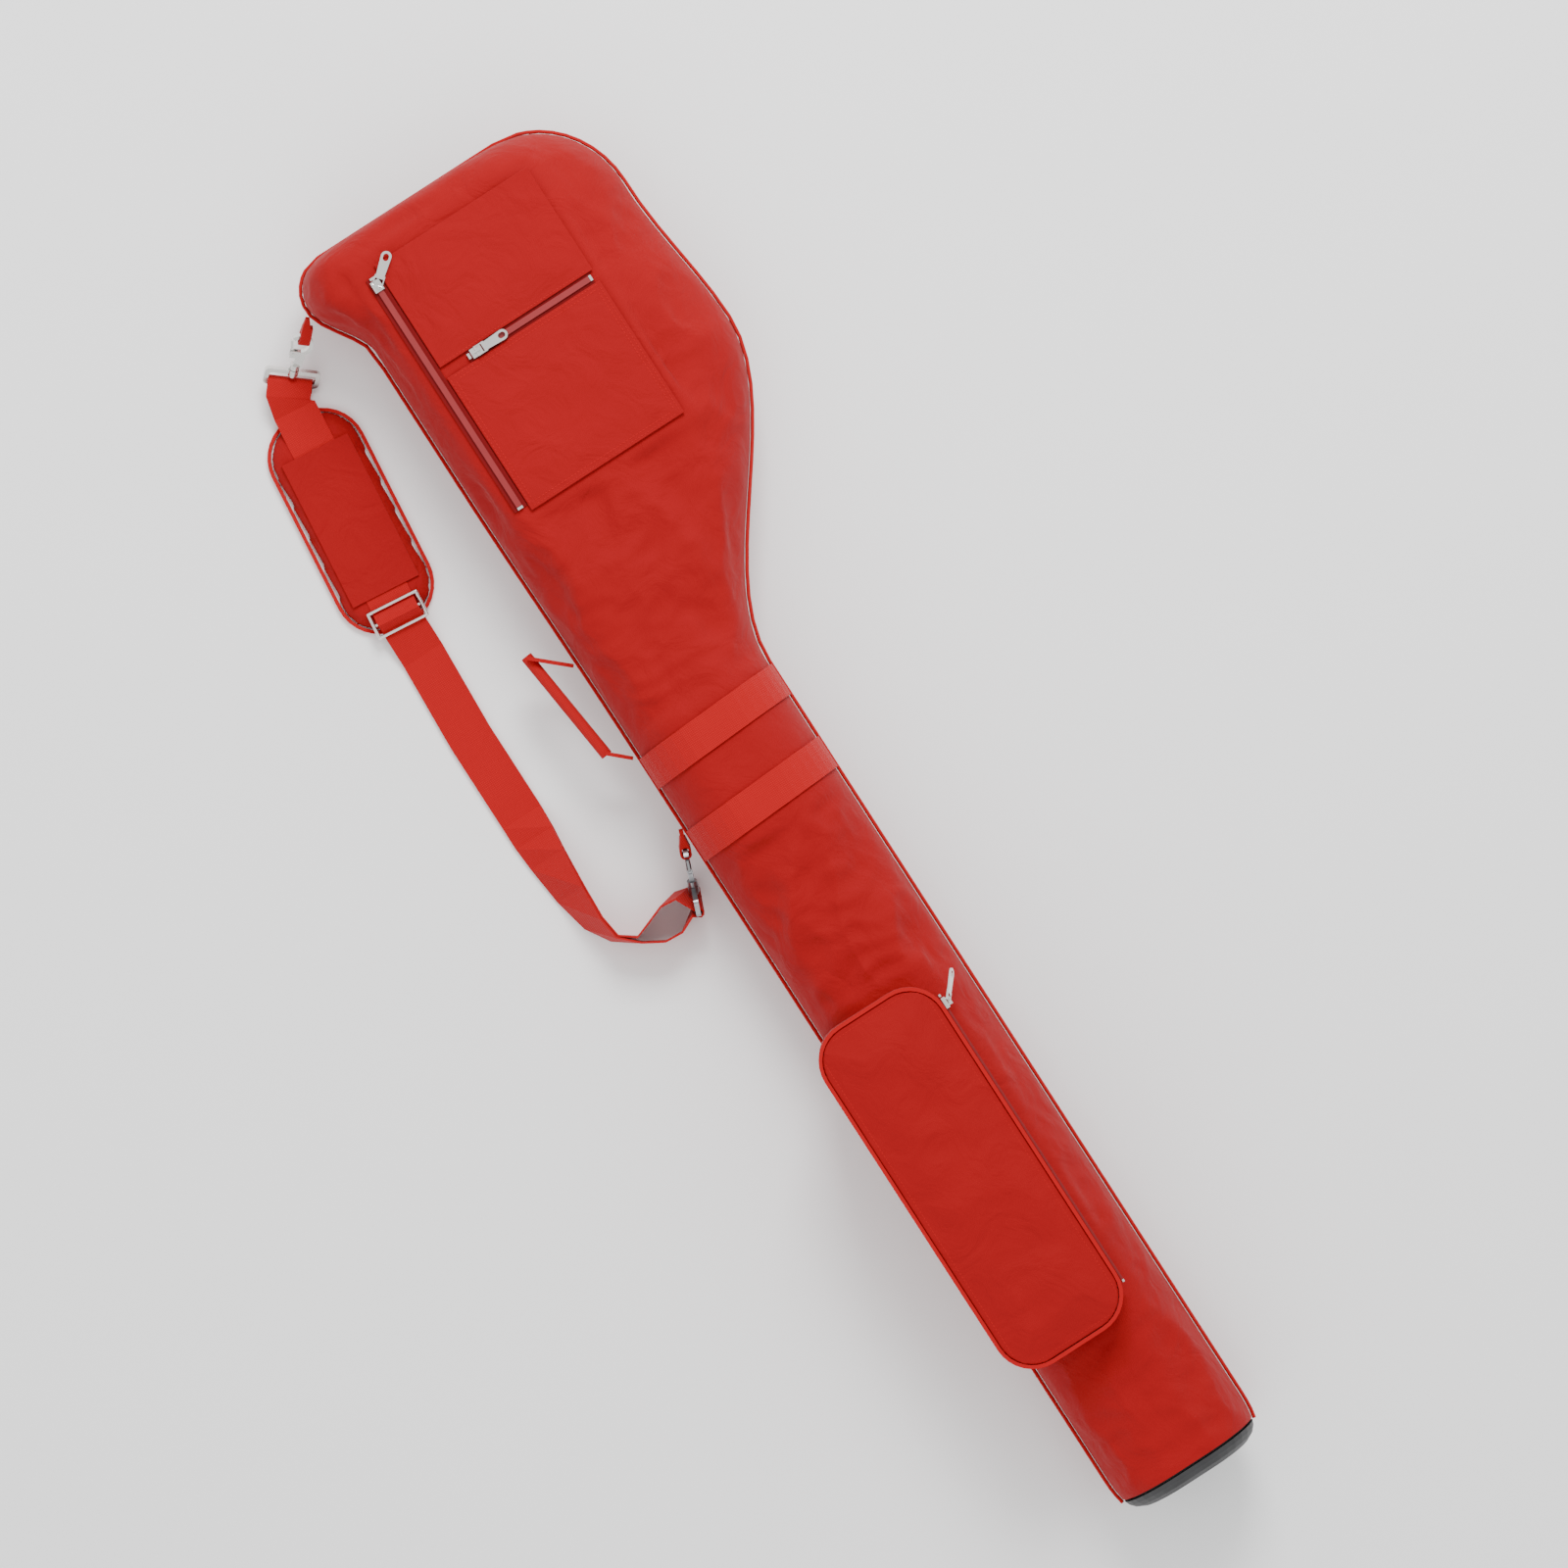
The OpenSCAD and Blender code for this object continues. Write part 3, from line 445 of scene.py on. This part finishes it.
def around(cad, inset, lift, corner_cut):
    """A closed run inside a panel's edge, its corners cut across."""
    low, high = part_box(cad)
    x0, x1 = low[0] / MM + inset, high[0] / MM - inset
    y0, y1 = low[1] / MM + inset, high[1] / MM - inset
    z, c = high[2] / MM + lift, corner_cut
    return [(x0 + c, y0, z), (x1 - c, y0, z), (x1, y0 + c, z), (x1, y1 - c, z),
            (x1 - c, y1, z), (x0 + c, y1, z), (x0, y1 - c, z), (x0, y0 + c, z), (x0 + c, y0, z)]

seam("pocket_hem_stitch", around("head_pocket_bottom", 2.6, 0.05, 1.0))
seam("pocket_hem_stitch_2", around("head_pocket_bottom", 6.0, 0.15, 1.0))
seam("accessory_stitch", around("accessory_pocket_front", 5.0, 0.1, 12.0))
HEM_INSET = 2.6
HEM_END = 4
THREAD_LIFT = 0.05

def top_hem():
    """The straight run beside the head pocket's zip."""
    low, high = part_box("head_pocket_top")
    x = high[0] / MM - HEM_INSET
    z = high[2] / MM + THREAD_LIFT
    return [(x, low[1] / MM + HEM_END, z), (x, high[1] / MM - HEM_END, z)]

seam("pocket_top_stitch", top_hem())

# ---------------------------------------------------------------- carried-over pieces
for name, obj in frame["nodes"].items():
    if obj.hide_render:
        continue
    obj.data.materials.clear()
    obj.data.materials.append(looks[slots[name]])

# ---------------------------------------------------------------- stage
FLOOR_REACH = 6.0
WORLD_LIGHT = 1.15
LAMPS = (("key", (-1.8, 1.2, 2.2), 95, 1.2), ("fill", (1.8, -1.6, 2.2), 20, 2.4))  # place, watts, size
SENSOR_MM = 36
CAMERA_HEIGHT = 6.0
VIEW_WIDTH = 1.3248
VIEW_CENTRE = (-0.0455, 0.0222)
VIEW_TURN = 57.17

def pale_paper():
    """The floor's nearly white, slightly mottled finish."""
    mat, tree, shader, where = start("pale_floor", 0.9)
    grain = node(tree, "ShaderNodeTexNoise", Scale=8.0, Detail=3.0)
    tree.links.new(where, grain.inputs["Vector"])
    tone = mix_colour(tree, grain.outputs["Fac"], (0.94, 0.94, 0.94), (0.96, 0.96, 0.96))
    tree.links.new(tone, shader.inputs["Base Color"])
    return mat

def floor():
    """A wide flat square under the bag."""
    mesh = bpy.data.meshes.new("floor")
    r = FLOOR_REACH
    corners = [(-r, -r, FLOOR_Z), (r, -r, FLOOR_Z), (r, r, FLOOR_Z), (-r, r, FLOOR_Z)]
    mesh.from_pydata(corners, [], [(0, 1, 2, 3)])
    mesh.materials.append(pale_paper())
    obj = bpy.data.objects.new("floor", mesh)
    bpy.context.scene.collection.objects.link(obj)

def lights():
    """Two soft lamps aimed at the origin, and an even white surround."""
    for label, place, power, size in LAMPS:
        lamp = bpy.data.lights.new(label, "AREA")
        lamp.energy = power
        lamp.size = size
        holder = bpy.data.objects.new(label, lamp)
        holder.location = place
        holder.rotation_euler = (-Vector(place)).to_track_quat("-Z", "Y").to_euler()
        bpy.context.scene.collection.objects.link(holder)
    world = bpy.data.worlds.new("studio")
    world.use_nodes = True
    surround = world.node_tree.nodes["Background"]
    surround.inputs["Color"].default_value = (1, 1, 1, 1)
    surround.inputs["Strength"].default_value = WORLD_LIGHT
    bpy.context.scene.world = world

def camera():
    """Straight down through a long lens."""
    lens = bpy.data.cameras.new("camera")
    lens.lens = SENSOR_MM * CAMERA_HEIGHT / VIEW_WIDTH
    lens.sensor_width = SENSOR_MM
    lens.clip_end = 50
    cam = bpy.data.objects.new("camera", lens)
    cam.location = (*VIEW_CENTRE, CAMERA_HEIGHT)
    cam.rotation_euler = (0, 0, math.radians(VIEW_TURN))
    bpy.context.scene.collection.objects.link(cam)
    bpy.context.scene.camera = cam

floor()
lights()
camera()
